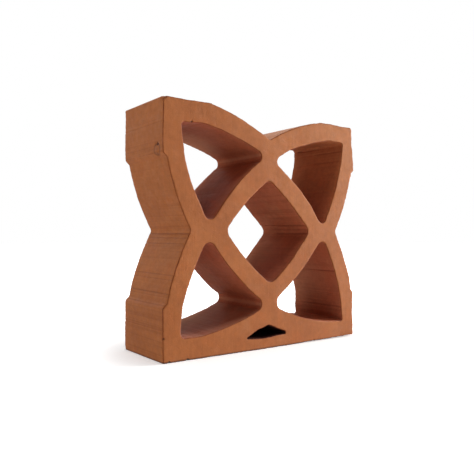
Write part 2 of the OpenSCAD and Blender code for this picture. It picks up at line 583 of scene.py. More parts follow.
@dataclass(frozen=True)
class Blemishes:
    """The faults of this one block, which its shape and its skins share, and its painted light.

    Attributes:
        scores: Lines along the depth.
        upper_right: Where the edge of the upper right opening runs out of true.
        upper_left: Where the edge of the upper left one does.
        lower_left: Where the edge of the lower left one does.
        lower_right: Where the edge of the lower right one does.
        leans: Places where a wall leans over towards the back.
        knocks: Chips and lifts of the arrises.
        marks: Spots of painted shade in the pit, chips and ring, and of painted sheen on walls.
        ring: The ring on the left side.
        pit: The pit beside the ring.
    """

    scores: tuple[Score, ...] = (
        Score((-97.1, 118.2), (0.50, 0.15), 0.9, 0.48),
        Score((-99.2, 114.1), (0.25, 0.10), 0.7, 0.31),
        Score((-101.9, 108.7), (0.25, 0.10), 0.8, 0.26),
        Score((-103.3, 105.8), (0.15, 0.05), 0.5, 0.17),
        Score((-108.4, 94.6), (0.20, 0.05), 0.6, 0.19),
        Score((-113.7, 79.6), (0.30, 0.05), 0.8, 0.34),
        Score((-115.0, 75.4), (0.20, 0.05), 0.6, 0.24),
        Score((-118.7, 62.7), (0.35, 0.05), 0.8, 0.41),
        Score((-119.3, 59.8), (0.20, 0.00), 0.6, 0.22),
        Score((-122.6, 52.4), (0.20, 0.20), 0.9, 0.29),
        Score((-125.0, 30.0), (0.30, 0.00), 0.7, 0.31),
        Score((-124.9, 220.0), (0.20, 0.00), 0.6, 0.19),
        Score((-124.8, 223.0), (0.15, 0.00), 0.5, 0.14),
        Score((-125.0, 192.6), (0.25, 0.00), 0.8, 0.26),
        Score((50.0, 127.0), (0.40, 0.30), 0.9, 0.48),
        Score((52.8, 122.6), (0.20, 0.00), 0.6, 0.30),
        Score((52.6, 118.4), (0.45, -0.10), 0.9, 0.54),
        Score((106.0, 212.5), (0.30, 0.00), 0.7, 0.36),
        Score((105.6, 218.8), (0.30, 0.00), 0.7, 0.36),
        Score((104.0, 201.5), (0.15, 0.00), 0.6, 0.22),
        Score((94.6, 76.0), (0.45, 0.10), 0.9, 0.60),
        Score((105.6, 34.6), (0.35, 0.00), 0.7, 0.41),
        Score((103.0, 49.5), (0.20, 0.00), 0.6, 0.22),
        Score((-90.2, 20.7), (0.00, -0.30), 0.8, 0.30),
        Score((33.6, 95.1), (0.15, -0.15), 0.6, 0.22),
    )
    upper_right: tuple[Pull, ...] = (
        Pull((14, 202), (0.6, -1.5), 18),
        Pull((58, 218), (0.1, -0.9), 58),
        Pull((103, 224), (-0.9, -2.0), 20),
        Pull((75, 133), (0.3, -2.8), 13),
        Pull((66, 139), (-0.6, -0.5), 16),
        Pull((22, 183), (-0.8, -0.8), 26),
    )
    upper_left: tuple[Pull, ...] = (
        Pull((-18, 186), (-1.2, 1.2), 48),
        Pull((-66, 139), (0.8, -0.9), 22),
        Pull((-84, 143), (0.9, 0.1), 26),
        Pull((-103, 222), (1.4, -2.6), 22),
        Pull((-106, 208), (1.2, 0), 24),
    )
    lower_left: tuple[Pull, ...] = (
        Pull((-92, 19), (0.2, 2.1), 56),
        Pull((-48, 27), (0.3, 1.0), 34),
        Pull((-103, 50), (-1.4, 0), 56),
        Pull((-18, 56), (-0.7, -0.6), 36),
        Pull((-66, 103), (0.5, 0.4), 22),
        Pull((-103, 19), (1.2, 1.3), 18),
        Pull((-105, 31), (1.1, 0), 22),
    )
    lower_right: tuple[Pull, ...] = (
        Pull((100, 18), (0, 1.4), 24),
        Pull((102, 56), (0.8, 0), 44),
        Pull((76, 21), (0, 1.1), 38),
        Pull((17, 39), (-0.4, -0.9), 15),
        Pull((22, 59), (-0.5, 0.5), 26),
    )
    leans: tuple[Knock, ...] = (
        Knock((52, 40, 121), (1.4, 0, 0), 34),
        Knock((104, 40, 60), (1.6, 0, 0), 46),
        Knock((105, 40, 200), (-1.3, 0, 0), 50),
        Knock((104, 40, 224), (-2.0, 0, 0), 18),
        Knock((105, 40, 50), (1.5, 0, 0), 22),
        Knock((106, 40, 28), (-0.6, 0, 0), 12),
        Knock((-60, 40, 216), (0.2, 0, -1.0), 46),
        Knock((-11, 40, 196), (-0.7, 0, 0), 22),
        Knock((-45, 40, 80), (0.7, 0, 0.8), 40),
        Knock((-10, 40, 47), (1.0, 0, 0), 22),
    )
    knocks: tuple[Knock, ...] = (
        Knock((-118.2, -39.6, 0), (0.1, 0.7, 0.8), 1.6, Fading.ROUND),
        Knock((-98.5, -39.6, 0), (0.0, 0.7, 0.8), 1.7, Fading.ROUND),
        Knock((-124.6, -39.6, 22.8), (0.6, 0.5, 0.0), 1.5, Fading.ROUND),
        Knock((-125, -40, 243), (1.0, 0.8, -0.9), 3.0, Fading.ROUND),
        Knock((-94.5, -40, 222), (0.0, 0.6, 0.4), 1.5, Fading.ROUND),
        Knock((125, -40, 186), (-0.8, 0.6, 0.0), 4.0),
        Knock((62, -40, 0), (0.0, 0.7, 0.5), 2.4),
        Knock((125, 40, 28), (-1.2, -1.2, 0.0), 4.0, Fading.ROUND),
        Knock((20, 40, 0), (0.0, -1.2, 1.0), 3.4, Fading.ROUND),
    )
    marks: tuple[Mark, ...] = (
        # Painted shade in the pit, the pressed ring and the chips, which are hollows in the mesh.
        Mark((-125, -29.1, 200.4), 1.3, 0.8, 0.85),
        Mark((-125, -28.6, 190.8), 0.9, 1.3, 0.55),
        Mark((-125, -28.6, 195.2), 5.3, 2.0, 0.46, ring=True),
        Mark((-125, -28.6, 195.2), 0.9, 1.2, 0.20),
        Mark((-94.5, -39.8, 221.9), 1.1, 0.8, 0.80),
        Mark((-118.2, -39.5, 0.7), 1.3, 0.6, 0.95),
        Mark((-98.5, -39.5, 0.7), 1.3, 0.6, 0.95),
        Mark((-124.2, -39.6, 22.8), 0.7, 0.7, 0.55),
        # Painted sheen: pale patches where the openings' walls catch light towards the back.
        Mark((-54, 32, 216), 12, 30, 0.40, pale=True),
        Mark((-64, 26, 25), 12, 26, 0.52, pale=True),
        Mark((100, 24, 66), 6, 50, 0.34, pale=True),
        Mark((30, 24, 92), 8, 44, 0.34, pale=True),
        # Painted highlights: pale streaks along two concave tips of the openings.
        Mark((-11.5, 0, 198.7), 0.3, 2.8, 0.26, pale=True, along=True),
        Mark((-11.0, 0, 45.9), 0.3, 2.8, 0.34, pale=True, along=True),
    )
    ring: PressedRing = PressedRing()
    pit: Knock = Knock((-125, -29.1, 200.4), (1.3, 0, 0), 2.1, Fading.ROUND)


class Pen:
    """Draws outlines as loops of short edges, one vertex at a time.

    Attributes:
        WELD: Gap below which an outline's last vertex and its first become one, in metres.
    """

    WELD = 0.05 * MM

    def __init__(self, depth: float, step: float) -> None:
        """Starts an empty mesh in edit mode.

        Args:
            depth: y of the plane that is drawn on, in metres.
            step: Longest edge, in millimetres.
        """
        self.depth = depth
        self.step = step
        self.last = point(0, 0)
        Bench.clear()
        bpy.ops.mesh.primitive_plane_add(size=1 * MM, location=(0, depth, 0))
        self.piece = bpy.context.object
        self.piece.name = self.piece.data.name = "fired_block"
        bpy.ops.object.transform_apply(location=True, rotation=True, scale=True)
        bpy.ops.object.mode_set(mode="EDIT")
        Bench.mode(Part.VERT)
        Bench.select_all()
        bpy.ops.mesh.delete(type="VERT")

    def start(self, at: Vector) -> None:
        """Sets down the first vertex of an outline.

        Args:
            at: Place of the vertex.
        """
        bpy.ops.mesh.select_all(action="DESELECT")
        corner = (at.x * MM, self.depth, at.y * MM)
        bpy.ops.mesh.primitive_plane_add(size=1 * MM, location=corner)
        bpy.ops.mesh.merge(type="CENTER")
        self.last = at

    def line(self, to: Vector) -> None:
        """Draws a straight edge to a point.

        Args:
            to: End of the edge.
        """
        way = to - self.last
        count = max(1, round(way.length / self.step))
        move = (way.x * MM / count, 0, way.y * MM / count)
        for _ in range(count):
            bpy.ops.mesh.extrude_region_move(TRANSFORM_OT_translate={"value": move})
        self.last = to

    def arc(self, centre: Vector, to: Vector, turn: Turn) -> None:
        """Draws an arc to a point.

        Args:
            centre: Centre of the arc.
            to: End of the arc.
            turn: Which way it runs.
        """
        here, there = self.last - centre, to - centre
        sweep = math.atan2(there.y, there.x) - math.atan2(here.y, here.x)
        sweep = turn.value * ((turn.value * sweep) % (2 * math.pi))
        length = abs(sweep) * here.length
        bpy.ops.mesh.spin(
            steps=max(2, round(length / self.step)),
            angle=sweep,
            center=(centre.x * MM, self.depth, centre.y * MM),
            axis=(0, 1, 0),
        )
        self.last = to

    def fillet(self, corner: Vector, after: Vector, radius: float) -> None:
        """Draws to a corner of an anticlockwise outline and rounds it.

        Args:
            corner: The sharp corner.
            after: A point on the edge that follows it.
            radius: Radius of the corner.
        """
        back = (self.last - corner).normalized()
        on = (after - corner).normalized()
        half = back.angle(on) / 2
        cut = radius / math.tan(half)
        self.line(corner + back * cut)
        middle = corner + (back + on).normalized() * (radius / math.sin(half))
        self.arc(middle, corner + on * cut, Turn.ANTICLOCKWISE)

    def close(self) -> None:
        """Joins the outline's last vertex to its first."""
        Bench.select_all()
        bpy.ops.mesh.remove_doubles(threshold=self.WELD)


# ---------------------------------------------------------------------------------------------
# The outlines
# ---------------------------------------------------------------------------------------------


@dataclass(frozen=True)
class OuterOutline:
    """The block's outer edge, with an open notch on three sides and a flat bed.

    Attributes:
        plan: Sizes of the section.
        notch_r: Radius in the bottom of a notch.
        corner_r: Radius of the worn corners: lower right, upper right, upper left, lower left.
        pulls: Places where the edge runs out of true.
    """

    plan: SectionPlan
    notch_r: float = 4.0
    corner_r: tuple[float, float, float, float] = (2.0, 4.5, 1.5, 1.5)
    pulls: tuple[Pull, ...] = (
        Pull((112, 0), (0, 1.5), 95),
        Pull((125, 34), (-0.6, 0), 40),
        Pull((117, 68), (1.6, 0.2), 26),
        Pull((101, 111), (-0.8, 0), 16),
        Pull((125, 236), (-3.2, 0), 32),
        Pull((125, 214), (-1.6, 0), 22),
        Pull((121, 188), (1.5, 0), 8),
        Pull((125, 193), (-0.5, 0), 5),
        Pull((96, 243), (0, -1.2), 62),
        Pull((114, 243), (0, -1.0), 34),
        Pull((72, 243), (0, -0.7), 18),
        Pull((-125, 230), (0.5, 0), 18),
        Pull((125, 215), (0.7, 0), 6),
        Pull((125, 35.5), (0.5, 0), 7),
        Pull((125, 16.5), (0.35, 0), 6),
    )

    def notch(
        self,
        pen: Pen,
        bars: tuple[Circle, Circle],
        ends: tuple[Vector, Vector],
        vertex: Vector,
    ) -> None:
        """Draws along one pad, down its step, round a notch and up to the next pad.

        Args:
            pen: The pen, on the first pad.
            bars: Circles of both bars' outer edges.
            ends: Ends of both pads.
            vertex: The notch's sharp vertex.
        """
        feet = []
        for bar, end in zip(bars, ends):
            slope = point(*(math.copysign(1, gap) for gap in vertex - end))
            feet.append(bar.meet_line(end, slope, end + slope))
        one, other = bars
        middle = one.grown(self.notch_r).meet(other.grown(self.notch_r), vertex)
        pen.line(ends[0])
        pen.line(feet[0])
        pen.arc(one.centre, one.nearest(middle), Turn.ANTICLOCKWISE)
        pen.arc(middle, other.nearest(middle), Turn.CLOCKWISE)
        pen.arc(other.centre, feet[1], Turn.ANTICLOCKWISE)
        pen.line(ends[1])

    def draw(self, pen: Pen) -> None:
        """Draws the outline anticlockwise from the middle of the bed.

        Args:
            pen: The pen to draw with.
        """
        p = self.plan
        half, high, mid = p.half, p.height, p.level
        over, top = p.side_outer, p.top_outer
        under = over.mirrored(level=mid)
        low, up = p.side_pad, 2 * mid - p.side_pad
        inside, reach = half - p.notch_side, half - p.top_pad
        radii = self.corner_r
        pen.start(point(0, 0))
        pen.fillet(point(half, 0), point(half, mid), radii[0])
        self.notch(pen, (under, over), (point(half, low), point(half, up)), point(inside, mid))
        pen.fillet(point(half, high), point(0, high), radii[1])
        self.notch(
            pen,
            (top, top.mirrored(True)),
            (point(reach, high), point(-reach, high)),
            point(0, high - p.notch_top),
        )
        pen.fillet(point(-half, high), point(-half, 0), radii[2])
        self.notch(
            pen,
            (over.mirrored(True), under.mirrored(True)),
            (point(-half, up), point(-half, low)),
            point(-inside, mid),
        )
        pen.fillet(point(-half, 0), point(0, 0), radii[3])
        pen.line(point(0, 0))
        pen.close()


@dataclass(frozen=True)
class CentreOpening:
    """The diamond-shaped opening in the middle.

    Attributes:
        plan: Sizes of the section.
        corner_r: Radius of its four corners.
        pulls: Places where the edge runs out of true.
    """

    plan: SectionPlan
    corner_r: float = 8.0
    pulls: tuple[Pull, ...] = (
        Pull((14, 164), (-1.1, -1.2), 42),
        Pull((42, 137), (-0.6, -0.6), 26),
        Pull((16, 80), (1.0, -1.1), 46),
        Pull((-52, 121), (0.5, 0), 14),
    )

    def draw(self, pen: Pen) -> None:
        """Draws the opening anticlockwise from its right corner.

        Args:
            pen: The pen to draw with.
        """
        p = self.plan
        right, top = p.diamond_ends
        mid = p.level
        bar = p.diamond_inner
        bars = [bar, bar.mirrored(True), bar.mirrored(True, mid), bar.mirrored(level=mid)]
        tips = [top, point(-right.x, mid), point(0, 2 * mid - top.y), right]
        rounds = []
        for here, after, tip in zip(bars, bars[1:] + bars[:1], tips):
            centre = here.grown(-self.corner_r).meet(after.grown(-self.corner_r), tip)
            rounds.append((here.nearest(centre), centre, after.nearest(centre)))
        pen.start(rounds[3][2])
        for bar, (leave, centre, join) in zip(bars, rounds):
            pen.arc(bar.centre, leave, Turn.ANTICLOCKWISE)
            pen.arc(centre, join, Turn.ANTICLOCKWISE)
        pen.close()


@dataclass(frozen=True)
class CornerOpening:
    """A three-sided opening between two side bars and a bar of the diamond.

    Attributes:
        plan: Sizes of the section.
        left: Whether it is on the left.
        low: Whether it is in the lower half.
        tip_r: Radius of the corner that points at the block's corner.
        pulls: Places where the edge runs out of true.
        node_r: Radius of the corners that point at the nodes.
    """

    plan: SectionPlan
    left: bool
    low: bool
    tip_r: float
    pulls: tuple[Pull, ...]
    node_r: float = 7.0

    def draw(self, pen: Pen) -> None:
        """Draws the opening from its upright edge, by way of the node beside the notch.

        Args:
            pen: The pen to draw with.
        """
        p = self.plan
        level = p.level if self.low else None
        circles = (p.side_inner, p.top_inner, p.diamond_outer)
        side, top, bar = (circle.mirrored(self.left, level) for circle in circles)
        sign_x, sign_z = (-1 if self.left else 1), (-1 if self.low else 1)
        outer = point(sign_x * p.half, p.level + sign_z * p.level)
        beside = point(sign_x * p.half, p.level)
        above = point(0, p.level + sign_z * p.level)
        turn = Turn.CLOCKWISE if self.left == self.low else Turn.ANTICLOCKWISE
        back = Turn(-turn.value)
        tip = side.grown(-self.tip_r).meet(top.grown(-self.tip_r), outer)
        foot = side.grown(-self.node_r).meet(bar.grown(self.node_r), beside)
        head = top.grown(-self.node_r).meet(bar.grown(self.node_r), above)
        pen.start(side.nearest(tip))
        pen.arc(side.centre, side.nearest(foot), turn)
        pen.arc(foot, bar.nearest(foot), turn)
        pen.arc(bar.centre, bar.nearest(head), back)
        pen.arc(head, top.nearest(head), turn)
        pen.arc(top.centre, top.nearest(tip), turn)
        pen.arc(tip, side.nearest(tip), turn)
        pen.close()


@dataclass(frozen=True)
class BaseOpening:
    """The small opening between the closed lower notch and the base strip.

    Attributes:
        left: Its left tip.
        right: Its right tip.
        apex: Its top.
        radii: Radii of those corners.
        pulls: Places where the edge runs out of true.
    """

    left: tuple[float, float] = (-32.6, 12.3)
    right: tuple[float, float] = (28.4, 12.9)
    apex: tuple[float, float] = (-2.0, 24.7)
    radii: tuple[float, float, float] = (0.9, 1.6, 7.0)
    pulls: tuple[Pull, ...] = (
        Pull((-9, 12.6), (0, -1.4), 24),
        Pull((13, 18.5), (-0.1, -0.2), 9),
        Pull((-16, 18.5), (-0.4, 0.9), 11),
    )

    def draw(self, pen: Pen) -> None:
        """Draws the opening anticlockwise from the middle of its floor.

        Args:
            pen: The pen to draw with.
        """
        left, right, apex = point(*self.left), point(*self.right), point(*self.apex)
        middle = (left + right) / 2
        pen.start(middle)
        pen.fillet(right, apex, self.radii[1])
        pen.fillet(apex, left, self.radii[2])
        pen.fillet(left, right, self.radii[0])
        pen.line(middle)
        pen.close()


# ---------------------------------------------------------------------------------------------
# Relief
# ---------------------------------------------------------------------------------------------


@dataclass(frozen=True)
class Relief:
    """A layer of unevenness that is pushed into the mesh by a displacement.

    Attributes:
        name: What it is, in letters and underscores.
        size: Width of its waves, in millimetres.
        height: Its full height from valley to crest, in millimetres.
        push: Which way it pushes the clay.
        octaves: How many finer layers lie on it.
        group: Vertex group that it is kept to, if any.
        middle: Share of the height that lies below the surface.
        stretch: How many times longer its waves are along the block's depth.
    """

    name: str
    size: float
    height: float
    push: Push = Push.OUTWARD
    octaves: int = 1
    group: str = ""
    middle: float = 0.5
    stretch: float = 1.0

    def apply(self, piece: bpy.types.Object) -> None:
        """Pushes the layer into a mesh.

        Args:
            piece: The object, in object mode.
        """
        texture = bpy.data.textures.new(self.name, type="CLOUDS")
        texture.noise_scale = self.size * MM
        texture.noise_depth = self.octaves
        texture.cloud_type = "COLOR" if self.push is Push.FREELY else "GRAYSCALE"
        guide = None
        Bench.take(piece)
        bpy.ops.object.modifier_add(type="DISPLACE")
        layer = piece.modifiers[-1]
        layer.texture = texture
        layer.direction = self.push.value
        layer.strength = self.height * MM
        layer.mid_level = self.middle
        layer.vertex_group = self.group
        if self.stretch == 1.0:
            layer.texture_coords = "LOCAL"
        else:
            bpy.ops.object.empty_add(type="PLAIN_AXES")
            guide = bpy.context.object
            guide.scale = (1, self.stretch, 1)
            bpy.context.view_layer.update()
            layer.texture_coords = "OBJECT"
            layer.texture_coords_object = guide
            Bench.take(piece)
        bpy.ops.object.modifier_apply(modifier=layer.name)
        if guide is not None:
            bpy.data.objects.remove(guide)
        bpy.data.textures.remove(texture)


# ---------------------------------------------------------------------------------------------
# Finishes
# ---------------------------------------------------------------------------------------------


@dataclass(frozen=True)
class Noise:
    """A cloudy pattern that a skin takes from its place on the block.

    Attributes:
        scale: Waves per metre, or per unit of the stretched place.
        detail: Number of finer layers.
        roughness: Strength of the finer layers.
        distortion: How far it is stirred.
        stretch: How much closer its waves are in x, y and z.
        shift: Shift of the pattern in x, y and z.
    """

    scale: float
    detail: float = 4.0
    roughness: float = 0.55
    distortion: float = 0.0
    stretch: Place = (1, 1, 1)
    shift: Place = (0, 0, 0)

    @property
    def moved(self) -> bool:
        """Whether it reads the place stretched or shifted."""
        return self.stretch != (1, 1, 1) or self.shift != (0, 0, 0)


class Nodes:
    """A small helper that lays out one material's nodes and joins them."""

    MIX_INPUTS = (0, 6, 7)
    MIX_OUTPUT = 2

    def __init__(self, name: str) -> None:
        """Makes an empty node material.

        Args:
            name: The material's name.
        """
        self.material = bpy.data.materials.new(name)
        self.material.use_nodes = True
        self.tree = self.material.node_tree
        self.tree.nodes.clear()
        output = self.add("ShaderNodeOutputMaterial")
        self.shader = self.add("ShaderNodeBsdfPrincipled")
        self.join(self.shader.outputs["BSDF"], output.inputs["Surface"])
        self.place = self.add("ShaderNodeTexCoord").outputs["Object"]

    def add(self, kind: str, **settings: object) -> bpy.types.Node:
        """Adds a node and sets its properties.

        Args:
            kind: The node's type.
            **settings: Its properties by name.

        Returns:
            The node.
        """
        node = self.tree.nodes.new(kind)
        for key, value in settings.items():
            setattr(node, key, value)
        return node

    def join(self, start: Socket, end: Socket) -> None:
        """Links two sockets."""
        self.tree.links.new(start, end)

    def feed(self, socket: Socket, value: Socket | Colour | float) -> None:
        """Links a socket to another, or gives it a colour or a number.

        Args:
            socket: The socket that is fed.
            value: What it gets.
        """
        if isinstance(value, bpy.types.NodeSocket):
            self.join(value, socket)
        elif isinstance(value, tuple):
            socket.default_value = (*value, 1.0)
        else:
            socket.default_value = value

    def shade(self, values: dict[str, Socket | Colour | float]) -> None:
        """Feeds the shader's sockets by their names."""
        for name, value in values.items():
            self.feed(self.shader.inputs[name], value)

    def noise(self, noise: Noise) -> Socket:
        """Adds a cloudy pattern.

        Args:
            noise: The pattern.

        Returns:
            Its value, near 0.5 on average.
        """
        place = self.place
        if noise.moved:
            mapping = self.add("ShaderNodeMapping")
            mapping.inputs["Scale"].default_value = noise.stretch
            mapping.inputs["Location"].default_value = noise.shift
            self.join(self.place, mapping.inputs["Vector"])
            place = mapping.outputs["Vector"]
        node = self.add("ShaderNodeTexNoise")
        self.join(place, node.inputs["Vector"])
        for key in ("scale", "detail", "roughness", "distortion"):
            node.inputs[key.capitalize()].default_value = getattr(noise, key)
        return node.outputs["Fac"]

    def ramp(self, value: Socket, stops: Stops) -> Socket:
        """Remaps a pattern through greys, from the position and the grey of each stop."""
        return self.tint(value, tuple((at, (grey, grey, grey)) for at, grey in stops))

    def tint(self, value: Socket, stops: tuple[tuple[float, Colour], ...]) -> Socket:
        """Colours a pattern through a ramp.

        Args:
            value: The pattern.
            stops: Position and colour of each stop.

        Returns:
            The colour.
        """
        node = self.add("ShaderNodeValToRGB")
        elements = node.color_ramp.elements
        while len(elements) < len(stops):
            elements.new(0.5)
        for element, (at, _) in zip(elements, stops):
            element.position = at
        for element, (_, colour) in zip(elements, stops):
            element.color = (*colour, 1.0)
        self.join(value, node.inputs["Fac"])
        return node.outputs["Color"]

    def math(self, op: Op, one: Socket | float, other: Socket | float = 0.0) -> Socket:
        """Adds a sum.

        Args:
            op: Its kind.
            one: First value or socket.
            other: Second value or socket.

        Returns:
            The result.
        """
        node = self.add("ShaderNodeMath", operation=op.value)
        self.feed(node.inputs[0], one)
        self.feed(node.inputs[1], other)
        return node.outputs[0]

    def blend(
        self,
        kind: Blend,
        amount: Socket | float,
        under: Socket | Colour,
        over: Socket | Colour,
    ) -> Socket:
        """Lays one colour over another.

        Args:
            kind: How it is laid.
            amount: Share of the upper colour.
            under: The lower colour.
            over: The upper colour.

        Returns:
            The mixed colour.
        """
        node = self.add("ShaderNodeMix", data_type="RGBA", blend_type=kind.value)
        for slot, value in zip(self.MIX_INPUTS, (amount, under, over)):
            self.feed(node.inputs[slot], value)
        return node.outputs[self.MIX_OUTPUT]

    def axis(self, vector: Socket, axis: Axis) -> Socket:
        """Takes one direction out of a vector.

        Args:
            vector: The vector.
            axis: The direction.

        Returns:
            Its share in that direction.
        """
        node = self.add("ShaderNodeSeparateXYZ")
        self.join(vector, node.inputs["Vector"])
        return node.outputs[axis.value]

    def vector_math(self, op: Op, vector: Socket, other: Place) -> bpy.types.Node:
        """Adds a sum of two vectors.

        Args:
            op: Its kind.
            vector: First vector.
            other: Second vector.

        Returns:
            The node.
        """
        node = self.add("ShaderNodeVectorMath", operation=op.value)
        self.join(vector, node.inputs[0])
        node.inputs[1].default_value = other
        return node

    def distance(self, at: Place, along: bool = False) -> Socket:
        """Measures the distance to a place, in metres.

        Args:
            at: The place, in millimetres.
            along: Whether the distance ignores the block's depth.

        Returns:
            The distance.
        """
        here = self.place
        if along:
            here = self.vector_math(Op.MULTIPLY, here, (1, 0, 1)).outputs["Vector"]
        return self.vector_math(Op.DISTANCE, here, Vector(at) * MM).outputs["Value"]

    def fade(
        self, value: Socket, span: tuple[float, float], amount: float, rest: float = 0.0
    ) -> Socket:
        """Fades smoothly from one amount to another.

        Args:
            value: What it fades along.
            span: Values between which it fades.
            amount: Amount up to the first value.
            rest: Amount from the second value on.

        Returns:
            The faded amount.
        """
        node = self.add("ShaderNodeMapRange", interpolation_type="SMOOTHSTEP")
        self.join(value, node.inputs["Value"])
        keys = ("From Min", "From Max", "To Min", "To Max")
        for key, number in zip(keys, (*span, amount, rest)):
            node.inputs[key].default_value = number
        return node.outputs["Result"]

    def relief(self, bumps: tuple[tuple[float, float], ...], *patterns: Socket) -> Socket:
        """Adds relief that is too fine for the mesh.

        Args:
            bumps: Height in millimetres and strength of each layer, lowest first.
            *patterns: Pattern of each layer.

        Returns:
            The normal.
        """
        normal: Socket | None = None
        for (depth, strength), height in zip(bumps, patterns):
            node = self.add("ShaderNodeBump")
            node.inputs["Strength"].default_value = strength
            node.inputs["Distance"].default_value = depth * MM
            self.join(height, node.inputs["Height"])
            if normal is not None:
                self.join(normal, node.inputs["Normal"])
            normal = node.outputs["Normal"]
        return normal


@dataclass(frozen=True)
class Patches:
    """Patches that something shows in.

    Attributes:
        noise: Their pattern.
        span: Values of the pattern between which they come in.
        most: How much of it shows inside them.
        least: How much of it shows between them.
    """

    noise: Noise
    span: tuple[float, float]
    most: float = 1.0
    least: float = 0.0

    def share(self, nodes: Nodes) -> Socket:
        """Adds the patches' nodes, and returns how much shows at each place."""
        stops = tuple(zip(self.span, (self.least, self.most)))
        return nodes.ramp(nodes.noise(self.noise), stops)


@dataclass(frozen=True)
class Tones:
    """Lighter and darker spots, or streaks, of the same colour.

    Attributes:
        noise: Their pattern.
        greys: Grey that darkens and grey that lightens, where 0.5 does nothing.
        amount: How strongly they show.
        span: Values of the pattern that have those greys.
    """

    noise: Noise
    greys: tuple[float, float]
    amount: float
    span: tuple[float, float] = (0.30, 0.70)

    def shade(
        self, nodes: Nodes, colour: Socket, loud: Socket | float = 1.0
    ) -> tuple[Socket, Socket]:
        """Lays the tones over a colour.

        Args:
            nodes: The material's nodes.
            colour: The colour under them.
            loud: Share of the amount that is kept.

        Returns:
            The shaded colour and the pattern.
        """
        pattern = nodes.noise(self.noise)
        share = nodes.math(Op.MULTIPLY, loud, self.amount)
        greys = nodes.ramp(pattern, tuple(zip(self.span, self.greys)))
        return nodes.blend(Blend.OVERLAY, share, colour, greys), pattern


@dataclass(frozen=True)
class Grog:
    """Ground fired clay of one colour, strewn through the body as small grains.

    Attributes:
        scale: Cells per metre, of which some hold a grain.
        size: Radius of a grain, as a share of a cell.
        colour: Colour of the grains.
        amount: How strongly they show.
        empty: Share of the cells without a grain.
    """

    scale: float
    size: float
    colour: Colour
    amount: float
    empty: float = 0.80

    def strew(self, nodes: Nodes, colour: Socket) -> Socket:
        """Strews the grains over a colour.

        Args:
            nodes: The material's nodes.
            colour: The colour under the grains.

        Returns:
            The colour with its grains.
        """
        cells = nodes.add("ShaderNodeTexVoronoi")
        cells.inputs["Scale"].default_value = self.scale
        nodes.join(nodes.place, cells.inputs["Vector"])
        spot = nodes.ramp(cells.outputs["Distance"], ((self.size / 2, 1.0), (self.size, 0.0)))
        chance = nodes.add("ShaderNodeSeparateColor")
        nodes.join(cells.outputs["Color"], chance.inputs["Color"])
        held = nodes.math(Op.ABOVE, chance.outputs[0], self.empty)
        share = nodes.math(Op.MULTIPLY, nodes.math(Op.MULTIPLY, spot, held), self.amount)
        return nodes.blend(Blend.MIX, share, colour, self.colour)


